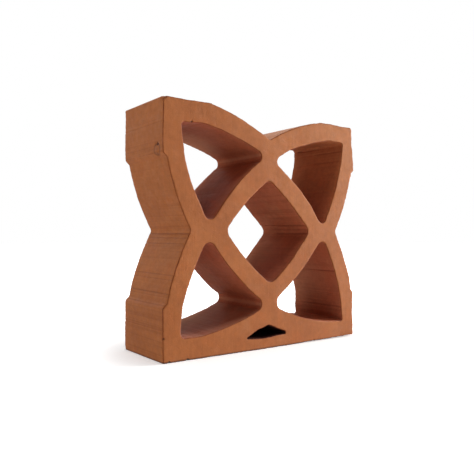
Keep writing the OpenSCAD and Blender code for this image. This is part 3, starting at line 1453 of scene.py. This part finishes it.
@dataclass(frozen=True)
class FiredClay:
    """Terracotta as the kiln leaves it: burnt brown, red and buff in soft clouds, with fine grog.

    This is the skin that the wire cut, with faint scratches of the grains it dragged down.
    Painted shade darkens it along the bed and in pits, chips and the pressed ring.
    Lengths that a fade runs over are in millimetres.

    Attributes:
        name: Name of the material.
        flaws: Faults whose painted shade and painted sheen lie on the skin.
        dark: Colour of the harder burnt clouds.
        middle: Colour of most of the clay.
        pale: Colour of the buff clouds.
        warm: Colour of the small redder patches.
        bloom: Colour of the whitish bloom.
        buff: Colour that the clay turns to round one corner.
        buff_at: Place of that corner, in millimetres.
        buff_span: Distances from it between which the buff fades out.
        buff_most: How much of it shows at the corner.
        painted_shade: Colour of the painted shade in pits, chips and the ring, and along the bed.
        painted_sheen: Colour of the painted sheen on the openings' walls.
        has_painted_sheen: Whether the painted sheen shows on this skin.
        ragged_by: How far the edge of a stain wanders, in millimetres.
        bed_shade: How dark the clay is just above the bed.
        bed_shade_span: Heights between which it clears.
        roughness: Mean roughness.
        spread: How far the roughness strays from its mean.
        gloss: Specular level.
        bend: Index of refraction.
        bumps: Height in millimetres and strength of each layer of relief, lowest first.
        clouds: Pattern of the dark, middle and pale clay.
        cloud_steps: Values of that pattern that are dark, middle and pale.
        warm_patches: Where the clay is redder.
        bloom_patches: Where it has the bloom.
        mottle: Its small uneven spots.
        speckle: Its finest spots.
        ragged: Pattern of the painted spots' edges.
        sheen: Pattern of the roughness.
        sheen_span: Values of that pattern that are smoothest and roughest.
        grain: Pattern of the sandy skin.
        pores: Where there is skin and no open pore.
        scratches: Tones that the wire dragged down the face.
        grogs: The grains in the clay.
    """

    name: str = "fired_clay_cut"
    flaws: Blemishes = Blemishes()
    dark: Colour = (0.354, 0.105, 0.0255)
    middle: Colour = (0.380, 0.116, 0.0290)
    pale: Colour = (0.406, 0.128, 0.0335)
    warm: Colour = (0.44, 0.119, 0.027)
    bloom: Colour = (0.47, 0.20, 0.090)
    buff: Colour = (0.47, 0.17, 0.047)
    buff_at: Place = (110, -40, 230)
    buff_span: tuple[float, float] = (20, 160)
    buff_most: float = 0.32
    painted_shade: Colour = (0.055, 0.018, 0.011)
    painted_sheen: Colour = (0.62, 0.29, 0.16)
    has_painted_sheen: bool = False
    # ragged_by: How far the edge of a painted spot wanders, in millimetres.
    ragged_by: float = 1.4
    # bed_shade: How dark the painted contact shade is just above the bed.
    bed_shade: float = 0.60
    # bed_shade_span: Heights between which the painted shade clears.
    bed_shade_span: tuple[float, float] = (0.96, 2.4)
    roughness: float = 0.72
    spread: float = 0.07
    gloss: float = 0.24
    bend: float = 1.5
    bumps: tuple[tuple[float, float], ...] = ((0.4, 0.22), (0.3, 0.25), (0.2, 0.35))
    clouds: Noise = Noise(21.0, 3.0, 0.55, 0.5, shift=(0.31, 0.0, 0.17))
    cloud_steps: tuple[float, float, float] = (0.36, 0.50, 0.64)
    warm_patches: Patches = Patches(
        Noise(55.0, 2.0, 0.5, shift=(0.7, 0.2, 0.5)), (0.50, 0.66), 0.30
    )
    bloom_patches: Patches = Patches(
        Noise(34.0, 4.0, 0.6, shift=(2.3, 1.1, 0.9)), (0.56, 0.72), 0.22
    )
    mottle: Tones = Tones(Noise(170.0, 4.0, 0.62, 0.2), (0.30, 0.70), 0.22)
    speckle: Tones = Tones(Noise(1000.0, 2.0, 0.6), (0.32, 0.68), 0.20)
    ragged: Noise = Noise(600.0, 2.0, 0.6)
    sheen: Noise = Noise(210.0, 3.0, 0.6)
    sheen_span: tuple[float, float] = (0.30, 0.70)
    grain: Noise = Noise(1100.0, 4.0, 0.7)
    pores: Patches = Patches(Noise(380.0, 2.0, 0.5), (0.28, 0.40))
    scratches: Tones = Tones(
        Noise(1.0, 3.0, 0.6, 0.2, stretch=(520.0, 60.0, 34.0)), (0.34, 0.64), 0.14
    )
    grogs: tuple[Grog, ...] = (
        Grog(330.0, 0.17, (0.15, 0.050, 0.024), 0.38),
        Grog(470.0, 0.14, (0.60, 0.34, 0.21), 0.26),
    )

    def body(self, nodes: Nodes) -> Socket:
        """Lays out the colour of the clay itself.

        Args:
            nodes: The material's nodes.

        Returns:
            The colour.
        """
        steps = zip(self.cloud_steps, (self.dark, self.middle, self.pale))
        colour = nodes.tint(nodes.noise(self.clouds), tuple(steps))
        for patches, shade in ((self.warm_patches, self.warm), (self.bloom_patches, self.bloom)):
            colour = nodes.blend(Blend.MIX, patches.share(nodes), colour, shade)
        share = nodes.fade(nodes.distance(self.buff_at), metres(self.buff_span), self.buff_most)
        colour = nodes.blend(Blend.MIX, share, colour, self.buff)
        for tones in (self.mottle, self.speckle):
            colour, _ = tones.shade(nodes, colour)
        for grog in self.grogs:
            colour = grog.strew(nodes, colour)
        colour = self.paint_spots(nodes, colour)
        # Painted shade: the clay darkens towards the bed, where the block meets the floor.
        height = nodes.axis(nodes.place, Axis.UP)
        bed_shade = nodes.fade(height, metres(self.bed_shade_span), self.bed_shade)
        return nodes.blend(Blend.MIX, bed_shade, colour, self.painted_shade)

    def paint_spots(self, nodes: Nodes, colour: Socket) -> Socket:
        """Lays the block's spots of painted shade and painted sheen over a colour.

        Args:
            nodes: The material's nodes.
            colour: The colour under the spots.

        Returns:
            The colour with its painted spots.
        """
        wander = nodes.math(Op.SUBTRACT, nodes.noise(self.ragged), 0.5)
        edge = nodes.math(Op.MULTIPLY, wander, self.ragged_by * MM)
        for mark in self.flaws.marks:
            if mark.pale and not self.has_painted_sheen:
                continue
            away = nodes.math(Op.ADD, nodes.distance(mark.at, mark.along), edge)
            span = (mark.radius, mark.radius + mark.blur)
            if mark.ring:
                away = nodes.math(Op.SIZE, nodes.math(Op.SUBTRACT, away, mark.radius * MM))
                span = (0.0, mark.blur)
            share = nodes.fade(away, metres(span), mark.amount)
            # Painted sheen for the pale spots, painted shade for the others.
            shade = self.painted_sheen if mark.pale else self.painted_shade
            colour = nodes.blend(Blend.MIX, share, colour, shade)
        return colour

    def finish(self, nodes: Nodes, colour: Socket, normal: Socket) -> bpy.types.Material:
        """Joins colour, roughness and relief to the shader.

        Args:
            nodes: The material's nodes.
            colour: The finished colour.
            normal: The finished normal.

        Returns:
            The material.
        """
        low, high = self.roughness - self.spread, self.roughness + self.spread
        rough = Patches(self.sheen, self.sheen_span, high, low).share(nodes)
        nodes.shade({"Base Color": colour, "Normal": normal, "Roughness": rough})
        nodes.shade({"Specular IOR Level": self.gloss, "IOR": self.bend})
        return nodes.material

    def make(self) -> bpy.types.Material:
        """Makes the skin's material.

        Returns:
            The material.
        """
        nodes = Nodes(self.name)
        colour, scratches = self.scratches.shade(nodes, self.body(nodes))
        pores, grain = self.pores.share(nodes), nodes.noise(self.grain)
        return self.finish(nodes, colour, nodes.relief(self.bumps, scratches, pores, grain))


@dataclass(frozen=True)
class DrawnClay(FiredClay):
    """The skin that slid along the die, with lines that run the whole depth.

    Attributes:
        line: Colour that the lines are darkened with.
        top_light: Colour of the painted light on the sides that face up.
        top_light_facing: Upward parts of a side's normal between which the painted light comes
            in.
        top_light_most: How much painted light a level side gets.
        top_light_patches: Pattern of the painted light.
        calm: How much fainter the lines are in the left half.
        calm_span: Places across the block between which they return.
        streaks: The soft streaks.
        fine: Pattern of the thin lines.
        fine_band: Values of that pattern that make a line.
        fine_patches: Where the thin lines show.
    """

    name: str = "fired_clay_drawn"
    line: Colour = (0.36, 0.26, 0.24)
    roughness: float = 0.66
    gloss: float = 0.20
    top_light: Colour = (0.52, 0.29, 0.19)
    top_light_facing: tuple[float, float] = (0.76, 0.92)
    top_light_most: float = 0.65
    top_light_patches: Noise = Noise(70.0, 3.0, 0.6)
    calm: float = 0.0
    calm_span: tuple[float, float] = (-30, 0)
    streaks: Tones = Tones(
        Noise(1.0, 3.0, 0.62, stretch=(330.0, 2.6, 330.0)), (0.32, 0.66), 0.16
    )
    fine: Noise = Noise(1.0, 2.0, 0.5, stretch=(190.0, 1.6, 190.0), shift=(3.1, 1.7, 0.4))
    fine_band: Stops = ((0.445, 0.0), (0.485, 1.0), (0.500, 1.0), (0.540, 0.0))
    fine_patches: Patches = Patches(
        Noise(1.0, 1.0, 0.5, stretch=(19.0, 4.0, 19.0)), (0.46, 0.62), 0.22
    )
    grain: Noise = Noise(1000.0, 4.0, 0.7)
    bumps: tuple[tuple[float, float], ...] = ((0.5, 0.25), (0.5, 0.5), (0.2, 0.30))

    def scored(self, nodes: Nodes) -> Socket:
        """Lays out the scored lines.

        Args:
            nodes: The material's nodes.

        Returns:
            How much each place is darkened.
        """
        total: Socket | float = 0.0
        for score in self.flaws.scores:
            away = nodes.distance((score.at[0], 0, score.at[1]), along=True)
            span = metres(share * score.width for share in score.edge)
            total = nodes.math(Op.LARGER, total, nodes.fade(away, span, score.shade))
        return total

    def lit_from_above(self, nodes: Nodes) -> Socket:
        """Lays out the painted light on the sides that face up, which the light above makes
        paler.

        Args:
            nodes: The material's nodes.

        Returns:
            How much of each place is painted light.
        """
        normal = nodes.add("ShaderNodeNewGeometry").outputs["Normal"]
        stops = tuple(zip(self.top_light_facing, (0.0, self.top_light_most)))
        facing = nodes.ramp(nodes.axis(normal, Axis.UP), stops)
        return nodes.math(Op.MULTIPLY, facing, nodes.noise(self.top_light_patches))

    def make(self) -> bpy.types.Material:
        """Makes the skin's material.

        Returns:
            The material.
        """
        nodes = Nodes(self.name)
        across = nodes.axis(nodes.place, Axis.ACROSS)
        calm = nodes.fade(across, metres(self.calm_span), self.calm)
        loud = nodes.math(Op.SUBTRACT, 1.0, calm)
        colour, streaks = self.streaks.shade(nodes, self.body(nodes), loud)
        lines = nodes.ramp(nodes.noise(self.fine), self.fine_band)
        thin = nodes.math(Op.MULTIPLY, lines, self.fine_patches.share(nodes))
        thin = nodes.math(Op.MULTIPLY, thin, loud)
        share = nodes.math(Op.LARGER, thin, self.scored(nodes))
        colour = nodes.blend(Blend.MULTIPLY, share, colour, self.line)
        # Painted light: sides that face up are paler, as light from above and its grazing sheen
        # make them.
        colour = nodes.blend(Blend.MIX, self.lit_from_above(nodes), colour, self.top_light)
        normal = nodes.relief(
            self.bumps,
            nodes.math(Op.MULTIPLY, streaks, loud),
            nodes.math(Op.SUBTRACT, 1.0, share),
            nodes.noise(self.grain),
        )
        return self.finish(nodes, colour, normal)


@dataclass(frozen=True)
class BoreClay(DrawnClay):
    """The drawn walls of the openings, in a redder copy of the clay's colours.

    The redder tint is painted shade, the colour of the light that bounces inside the openings.

    Attributes:
        top_light_span: Places across the block between which the painted light ends.
    """

    name: str = "fired_clay_bore"
    # Redder copy of the clay's colours: painted shade for the light bouncing in the openings.
    dark: Colour = (0.355, 0.099, 0.047)
    middle: Colour = (0.383, 0.110, 0.053)
    pale: Colour = (0.411, 0.122, 0.060)
    warm: Colour = (0.448, 0.112, 0.050)
    calm: float = 0.7
    has_painted_sheen: bool = True
    roughness: float = 0.50
    gloss: float = 0.010
    top_light_span: tuple[float, float] = (-20, 30)

    def lit_from_above(self, nodes: Nodes) -> Socket:
        """Lays out the painted light, which stops short of the right-hand openings.

        Args:
            nodes: The material's nodes.

        Returns:
            How much of each place is painted light.
        """
        across = nodes.axis(nodes.place, Axis.ACROSS)
        kept = nodes.fade(across, metres(self.top_light_span), 1.0)
        return nodes.math(Op.MULTIPLY, super().lit_from_above(nodes), kept)


@dataclass(frozen=True)
class ShadedHoleClay(DrawnClay):
    """The walls of the small opening, nearly black: painted shade for the deep shade inside it.
    """

    name: str = "fired_clay_shaded_hole"
    dark: Colour = (0.052, 0.019, 0.016)
    middle: Colour = (0.062, 0.023, 0.019)
    pale: Colour = (0.072, 0.028, 0.022)
    warm: Colour = (0.082, 0.024, 0.018)
    bloom: Colour = (0.060, 0.026, 0.022)
    buff: Colour = (0.060, 0.026, 0.022)
    top_light: Colour = (0.060, 0.026, 0.022)
    roughness: float = 0.9
    gloss: float = 0.0


@dataclass(frozen=True)
class WornArris(FiredClay):
    """The narrow edge between a cut face and a drawn wall, darker and a little redder.

    The darkening is partly its burr and partly painted shade on the rounded edge.

    Attributes:
        burr_and_shade: Colour that the edge is darkened with, for its burr and its painted shade.
        burr_and_shade_patches: How much darker each stretch of it is.
    """

    name: str = "fired_clay_arris"
    burr_and_shade: Colour = (0.50, 0.35, 0.29)
    burr_and_shade_patches: Patches = Patches(Noise(60.0, 3.0, 0.6), (0.35, 0.60), least=0.55)
    # Deeper painted contact shade along the bed on the worn edge.
    bed_shade: float = 0.80
    grain: Noise = Noise(900.0, 4.0, 0.7)
    bumps: tuple[tuple[float, float], ...] = ((0.3, 0.4),)

    def make(self) -> bpy.types.Material:
        """Makes the skin's material.

        Returns:
            The material.
        """
        nodes = Nodes(self.name)
        # Partly burr, partly painted shade: the edge is darkened in patches.
        share = self.burr_and_shade_patches.share(nodes)
        colour = nodes.blend(Blend.MULTIPLY, share, self.body(nodes), self.burr_and_shade)
        return self.finish(nodes, colour, nodes.relief(self.bumps, nodes.noise(self.grain)))


# ---------------------------------------------------------------------------------------------
# The block
# ---------------------------------------------------------------------------------------------


@dataclass
class BreezeBlock:
    """The whole fired piece.

    Attributes:
        CUT_NORMAL: Least part along Y that a cut side's normal has before the arrises are worn.
        low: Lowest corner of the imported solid, in metres.
        high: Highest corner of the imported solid, in metres.
        step: Longest edge along an outline, in millimetres.
        rows: Depths of the rows behind the front face, in millimetres.
        rings: Widths of the rings of faces inside each cut face's edge, in millimetres.
        crowd: Gap below which the points of a ring in a corner become one, in millimetres.
        mesh: Longest edge inside the rings, in millimetres.
        arris: Size of the worn edge, in millimetres.
        slack: How far a vertex of a cut face may lie off its plane, in millimetres.
        facing: Squares of a normal's y above which a face is cut, and below which it is a wall.
        walls: The skins of single walls, and a place on each, in millimetres.
        flaws: Faults of this one block.
        die: Unevenness that the die gives the outlines.
        reliefs: Layers of unevenness over the whole piece.
        plan: Sizes of the section.
        piece: The block's object.
    """

    CUT_NORMAL = 0.9

    low: Vector
    high: Vector
    step: float = 0.95
    rows: tuple[float, ...] = (1.8, 4.2, 7.5, 12, 18, 25, 33, 42, 50, 58, 66, 72.5, 77.5, 80)
    rings: tuple[float, ...] = (1.0, 0.8)
    crowd: float = 0.45
    mesh: float = 4.5
    arris: float = 0.75
    slack: float = 0.02
    facing: tuple[float, float] = (0.98, 0.02)
    # The small opening's walls take the nearly black painted shade.
    walls: tuple[tuple[Skin, Place], ...] = ((Skin.DRAWN, (0, 0, 0)), (Skin.SHADED_HOLE, (0, 0, 12)))
    flaws: Blemishes = Blemishes()
    die: tuple[Relief, ...] = (
        Relief("die_lines", 3.0, 0.34, Push.FREELY, 2),
        Relief("die_waves", 22.0, 0.7, Push.FREELY, 1),
    )
    reliefs: tuple[Relief, ...] = (
        Relief("slump", 70.0, 0.8, Push.FREELY, 1),
        Relief("drawn_skin", 7.0, 0.22, Push.OUTWARD, 2, "bore", stretch=9.0),
        Relief("wire_waves", 18.0, 0.35, Push.ALONG, 2, "cut"),
        Relief("wear", 5.0, 0.7, Push.OUTWARD, 2, "arris", middle=0.70),
    )
    plan: SectionPlan = field(init=False)
    piece: bpy.types.Object = field(init=False)

    def __post_init__(self) -> None:
        """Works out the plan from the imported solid's size."""
        size = (self.high - self.low) / MM
        self.plan = SectionPlan(width=size.x, height=size.z)

    def outlines(self) -> list[OuterOutline | CentreOpening | CornerOpening | BaseOpening]:
        """Lists the closed outlines of the section.

        Returns:
            The outlines, the outer one first.
        """
        plan, flaws = self.plan, self.flaws
        return [
            OuterOutline(plan),
            CentreOpening(plan),
            CornerOpening(plan, left=False, low=False, tip_r=3.5, pulls=flaws.upper_right),
            CornerOpening(plan, left=True, low=False, tip_r=3.5, pulls=flaws.upper_left),
            CornerOpening(plan, left=True, low=True, tip_r=4.5, pulls=flaws.lower_left),
            CornerOpening(plan, left=False, low=True, tip_r=3.0, pulls=flaws.lower_right),
            BaseOpening(),
        ]

    def draw(self) -> None:
        """Draws the section on the front plane and lets its edges run out of true."""
        front = self.low.y
        pen = Pen(front, self.step)
        self.piece = pen.piece
        outlines = self.outlines()
        for outline in outlines:
            outline.draw(pen)
        for outline in outlines:
            for pull in outline.pulls:
                pull.apply(front)
        for score in self.flaws.scores:
            score.apply(front)
        bpy.ops.object.mode_set(mode="OBJECT")
        for relief in self.die:
            relief.apply(self.piece)
        bpy.ops.object.mode_set(mode="EDIT")
        Bench.select_all()
        bpy.ops.transform.resize(value=(1, 0, 1), center_override=(0, front, 0))

    def fill(self) -> None:
        """Fills the section and carries it back in rows."""
        Bench.select_all()
        bpy.ops.mesh.fill(use_beauty=False)
        bpy.ops.mesh.beautify_fill()
        Bench.mode(Part.FACE)
        Bench.select_all()
        for width in self.rings:
            bpy.ops.mesh.inset(
                thickness=width * MM, depth=0, use_boundary=True, use_even_offset=True
            )
            bpy.ops.mesh.remove_doubles(threshold=self.crowd * MM)
        self.refine()
        Bench.select_all()
        for before, depth in zip((0.0, *self.rows), self.rows):
            move = (0, (depth - before) * MM, 0)
            bpy.ops.mesh.extrude_region_move(TRANSFORM_OT_translate={"value": move})
        for lean in self.flaws.leans:
            lean.apply()
        Bench.select_all()
        bpy.ops.mesh.normals_make_consistent(inside=False)

    def refine(self) -> None:
        """Divides the long triangles inside the rings, which are selected, and evens them out."""
        bpy.ops.mesh.hide(unselected=True)
        longest = self.mesh * MM
        while Bench.pick(Part.EDGE, lambda e: not e.hide and e.calc_length() > longest):
            bpy.ops.mesh.subdivide(number_cuts=1)
            Bench.mode(Part.FACE)
            Bench.select_all()
            bpy.ops.mesh.quads_convert_to_tris()
            bpy.ops.mesh.beautify_fill()
        Bench.pick(Part.VERT, lambda v: not v.hide and not any(f.hide for f in v.link_faces))
        bpy.ops.mesh.vertices_smooth(factor=0.5, repeat=4, xaxis=True, yaxis=False, zaxis=True)
        bpy.ops.mesh.reveal(select=False)

    @staticmethod
    def is_cut(face: bmesh.types.BMFace) -> bool:
        """Tells whether a face lies on a cut side."""
        return abs(face.normal.y) > BreezeBlock.CUT_NORMAL

    @staticmethod
    def is_arris(edge: bmesh.types.BMEdge) -> bool:
        """Tells whether an edge parts a cut side from a wall."""
        sides = {BreezeBlock.is_cut(face) for face in edge.link_faces}
        return len(edge.link_faces) == 2 and len(sides) == 2

    def skin_of(self, face: bmesh.types.BMFace) -> Skin | None:
        """Tells which skin a face has once the arrises are rounded.

        Args:
            face: The face.

        Returns:
            Its skin, or none for a face that is parallel to the cut faces and off them.
        """
        flat, upright = self.facing
        turned = face.normal.y**2
        if turned <= flat:
            return Skin.BORE if turned < upright else Skin.ARRIS
        depths = [vert.co.y for vert in face.verts]
        off = min(min(depths) - self.low.y, self.high.y - max(depths))
        return Skin.CUT if off < self.slack * MM else None

    def lay_skin(self, skin: Skin) -> None:
        """Gives the selected faces a skin's material."""
        self.piece.active_material_index = skin.value
        bpy.ops.object.material_slot_assign()

    def wear_arrises(self) -> None:
        """Rounds the edges between the cut faces and the walls, and names the skins."""
        Bench.pick(Part.EDGE, self.is_arris)
        bpy.ops.mesh.bevel(
            offset=self.arris * MM, offset_type="OFFSET", segments=3, profile=0.5, affect="EDGES"
        )
        for skin in (Skin.CUT, Skin.BORE, Skin.ARRIS):
            count = Bench.pick(Part.FACE, lambda f: self.skin_of(f) is skin)
            self.lay_skin(skin)
            bpy.ops.object.vertex_group_add()
            self.piece.vertex_groups.active.name = skin.name.lower()
            bpy.ops.object.vertex_group_assign()
            log.info("skin %s has %d faces", skin.name.lower(), count)
        for skin, at in self.walls:
            Bench.pick_nearest(Vector(at) * MM)
            bpy.ops.mesh.select_linked(delimit={"MATERIAL"})
            self.lay_skin(skin)

    def blemish(self) -> None:
        """Presses the ring and the pit into the left pad, and chips the arrises."""
        self.flaws.ring.apply()
        self.flaws.pit.apply()
        for knock in self.flaws.knocks:
            knock.divide()
            knock.apply()

    def seat(self) -> None:
        """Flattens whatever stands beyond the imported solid's box onto its sides."""
        for axis in range(3):
            flat = [float(way != axis) for way in range(3)]
            for wall, sign in ((self.low[axis], -1), (self.high[axis], 1)):
                centre = [wall if way == axis else 0.0 for way in range(3)]
                if Bench.pick(Part.VERT, lambda v: (v.co[axis] - wall) * sign > 0):
                    bpy.ops.transform.resize(value=flat, center_override=centre)

    def build(self) -> bpy.types.Object:
        """Builds the block.

        Returns:
            The finished object.
        """
        self.draw()
        for skin, clay in (
            (Skin.CUT, FiredClay()),
            (Skin.BORE, BoreClay()),
            (Skin.ARRIS, WornArris()),
            (Skin.DRAWN, DrawnClay()),
            (Skin.SHADED_HOLE, ShadedHoleClay()),
        ):
            self.piece.data.materials.append(clay.make())
            log.info("skin %s is %s", skin.name.lower(), clay.name)
        self.fill()
        self.wear_arrises()
        bpy.ops.object.mode_set(mode="OBJECT")
        for relief in self.reliefs:
            relief.apply(self.piece)
        bpy.ops.object.mode_set(mode="EDIT")
        self.blemish()
        self.seat()
        Bench.select_all()
        bpy.ops.mesh.normals_make_consistent(inside=False)
        bpy.ops.object.mode_set(mode="OBJECT")
        Bench.take(self.piece)
        bpy.ops.object.shade_smooth()
        return self.piece

    def dress(self) -> None:
        """Ties the block to the frame."""
        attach(self.piece, "root")
        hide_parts("block")


# ---------------------------------------------------------------------------------------------
# The studio
# ---------------------------------------------------------------------------------------------


@dataclass(frozen=True)
class Lamp:
    """A soft square light.

    Attributes:
        name: Its name.
        at: Place, in metres.
        size: Length of a side, in metres.
        power: Power, in watts.
        aim: Point that it faces, in metres.
    """

    name: str
    at: Place
    size: float
    power: float
    aim: Place = (0.0, 0.0, 0.12)

    def hang(self) -> None:
        """Adds the light."""
        turn = (Vector(self.aim) - Vector(self.at)).to_track_quat("-Z", "Y").to_euler()
        bpy.ops.object.light_add(type="AREA", location=self.at, rotation=turn)
        lamp = bpy.context.object
        lamp.name = self.name
        lamp.data.shape = "SQUARE"
        lamp.data.size = self.size
        lamp.data.energy = self.power
        lamp.visible_camera = False


@dataclass(frozen=True)
class Studio:
    """A white room with one strong soft lamp low on the right and three weak ones.

    Attributes:
        seen: Brightness of the white surroundings to the camera.
        mirrored: Their brightness in reflections.
        ambient: Their brightness as a source of light.
        camera_glow: Painted glow of the floor near the block and far from it; dimmer near it.
        camera_glow_at: Place that the glow is measured from, in millimetres.
        fade: Distances from it between which the floor turns white, in millimetres.
        spill: Light that the floor itself gives the block.
        sweep: Length of the floor's sides, in metres.
        sheet: Grey of the floor, which is a little uneven.
        matt: Roughness of the floor.
        gloss: Specular level of the floor.
        lamps: The lights.
        camera_at: Place of the camera, in metres.
        azimuth: Turn of the camera from +Y towards +X, in degrees.
        pitch: Tilt of the camera below the horizon, in degrees.
        roll: Lean of the camera, in degrees.
        lens: Focal length, in millimetres.
        film: Width of the film, in millimetres.
        nearest: Least distance that the camera sees at, in metres.
    """

    seen: float = 1.0
    mirrored: float = 1.5
    ambient: float = 0.10
    camera_glow: tuple[float, float] = (0.38, 1.0)
    camera_glow_at: Place = (0, -20, 0)
    fade: tuple[float, float] = (125, 220)
    spill: float = 0.18
    sweep: float = 12.0
    sheet: Patches = Patches(Noise(1.5, 2.0), (0.3, 0.7), most=0.83, least=0.80)
    matt: float = 0.9
    gloss: float = 0.1
    lamps: tuple[Lamp, ...] = (
        Lamp("key", (2.10, -0.56, 0.52), 1.0, 86.0),
        Lamp("overhead", (0.0, 0.0, 1.70), 1.0, 12.5),
        Lamp("side", (-1.56, 0.14, 0.45), 0.8, 5.0),
        Lamp("rear", (0.0, 1.90, 0.80), 1.2, 5.0),
    )
    camera_at: Place = (-0.36854, -0.48825, 0.11772)
    azimuth: float = 36.05
    pitch: float = 0.29
    roll: float = 0.10
    lens: float = 42.646
    film: float = 36.0
    nearest: float = 0.01

    def floor(self) -> bpy.types.Object:
        """Lays the white floor.

        Returns:
            The floor.
        """
        Bench.clear()
        bpy.ops.mesh.primitive_plane_add(size=self.sweep, location=(0, 0, 0))
        sweep = bpy.context.object
        sweep.name = "floor"
        bpy.ops.object.transform_apply(location=True, rotation=True, scale=True)
        nodes = Nodes("white_sweep")
        near, far = self.camera_glow
        # Painted glow seen only by the camera, dimmer round the block: painted shade about the
        # block.
        white = nodes.fade(nodes.distance(self.camera_glow_at), metres(self.fade), near, far)
        seen = nodes.add("ShaderNodeLightPath").outputs["Is Camera Ray"]
        extra = nodes.math(Op.MULTIPLY, seen, nodes.math(Op.SUBTRACT, white, self.spill))
        glow = nodes.math(Op.ADD, extra, self.spill)
        nodes.shade({"Base Color": self.sheet.share(nodes), "Roughness": self.matt})
        nodes.shade({"Specular IOR Level": self.gloss})
        nodes.shade({"Emission Color": (1, 1, 1), "Emission Strength": glow})
        sweep.data.materials.append(nodes.material)
        return sweep

    def surroundings(self) -> None:
        """Sets the white surroundings and a plain rendering of tones."""
        scene = bpy.context.scene
        world = bpy.data.worlds.new("white_room")
        scene.world = world
        world.use_nodes = True
        tree = world.node_tree
        background = tree.nodes["Background"]
        background.inputs["Color"].default_value = (1, 1, 1, 1)
        ray = tree.nodes.new("ShaderNodeLightPath")
        level: Socket | float = self.mirrored
        for kind, strength in (("Is Camera Ray", self.seen), ("Is Diffuse Ray", self.ambient)):
            change = tree.nodes.new("ShaderNodeMath")
            change.operation = "MULTIPLY_ADD"
            tree.links.new(ray.outputs[kind], change.inputs[0])
            change.inputs[1].default_value = strength - self.mirrored
            if isinstance(level, float):
                change.inputs[2].default_value = level
            else:
                tree.links.new(level, change.inputs[2])
            level = change.outputs[0]
        tree.links.new(level, background.inputs["Strength"])
        scene.view_settings.view_transform = "Standard"
        scene.view_settings.look = "None"

    def camera(self) -> None:
        """Sets up the camera."""
        bpy.ops.object.camera_add(location=self.camera_at)
        camera = bpy.context.object
        camera.name = "camera"
        turn = (
            Matrix.Rotation(-math.radians(self.azimuth), 4, "Z")
            @ Matrix.Rotation(math.radians(90 - self.pitch), 4, "X")
            @ Matrix.Rotation(math.radians(self.roll), 4, "Z")
        )
        camera.matrix_world = Matrix.Translation(self.camera_at) @ turn
        camera.data.sensor_width = self.film
        camera.data.lens = self.lens
        camera.data.clip_start = self.nearest
        bpy.context.scene.camera = camera

    def build(self) -> None:
        """Builds the floor, the light and the camera."""
        log.info("%s: laid", self.floor().name)
        self.surroundings()
        for lamp in self.lamps:
            lamp.hang()
            log.info("lamp %s: %.1f W", lamp.name, lamp.power)
        self.camera()


def main() -> None:
    """Builds the block and the studio."""
    logging.basicConfig(level=logging.INFO, format="%(name)s: %(message)s")
    block = BreezeBlock(*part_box("block"))
    piece = block.build()
    block.dress()
    mesh = piece.data
    log.info("%s: %d vertices, %d faces", piece.name, len(mesh.vertices), len(mesh.polygons))
    Studio().build()
    bpy.context.view_layer.update()


if __name__ == "__main__":
    main()
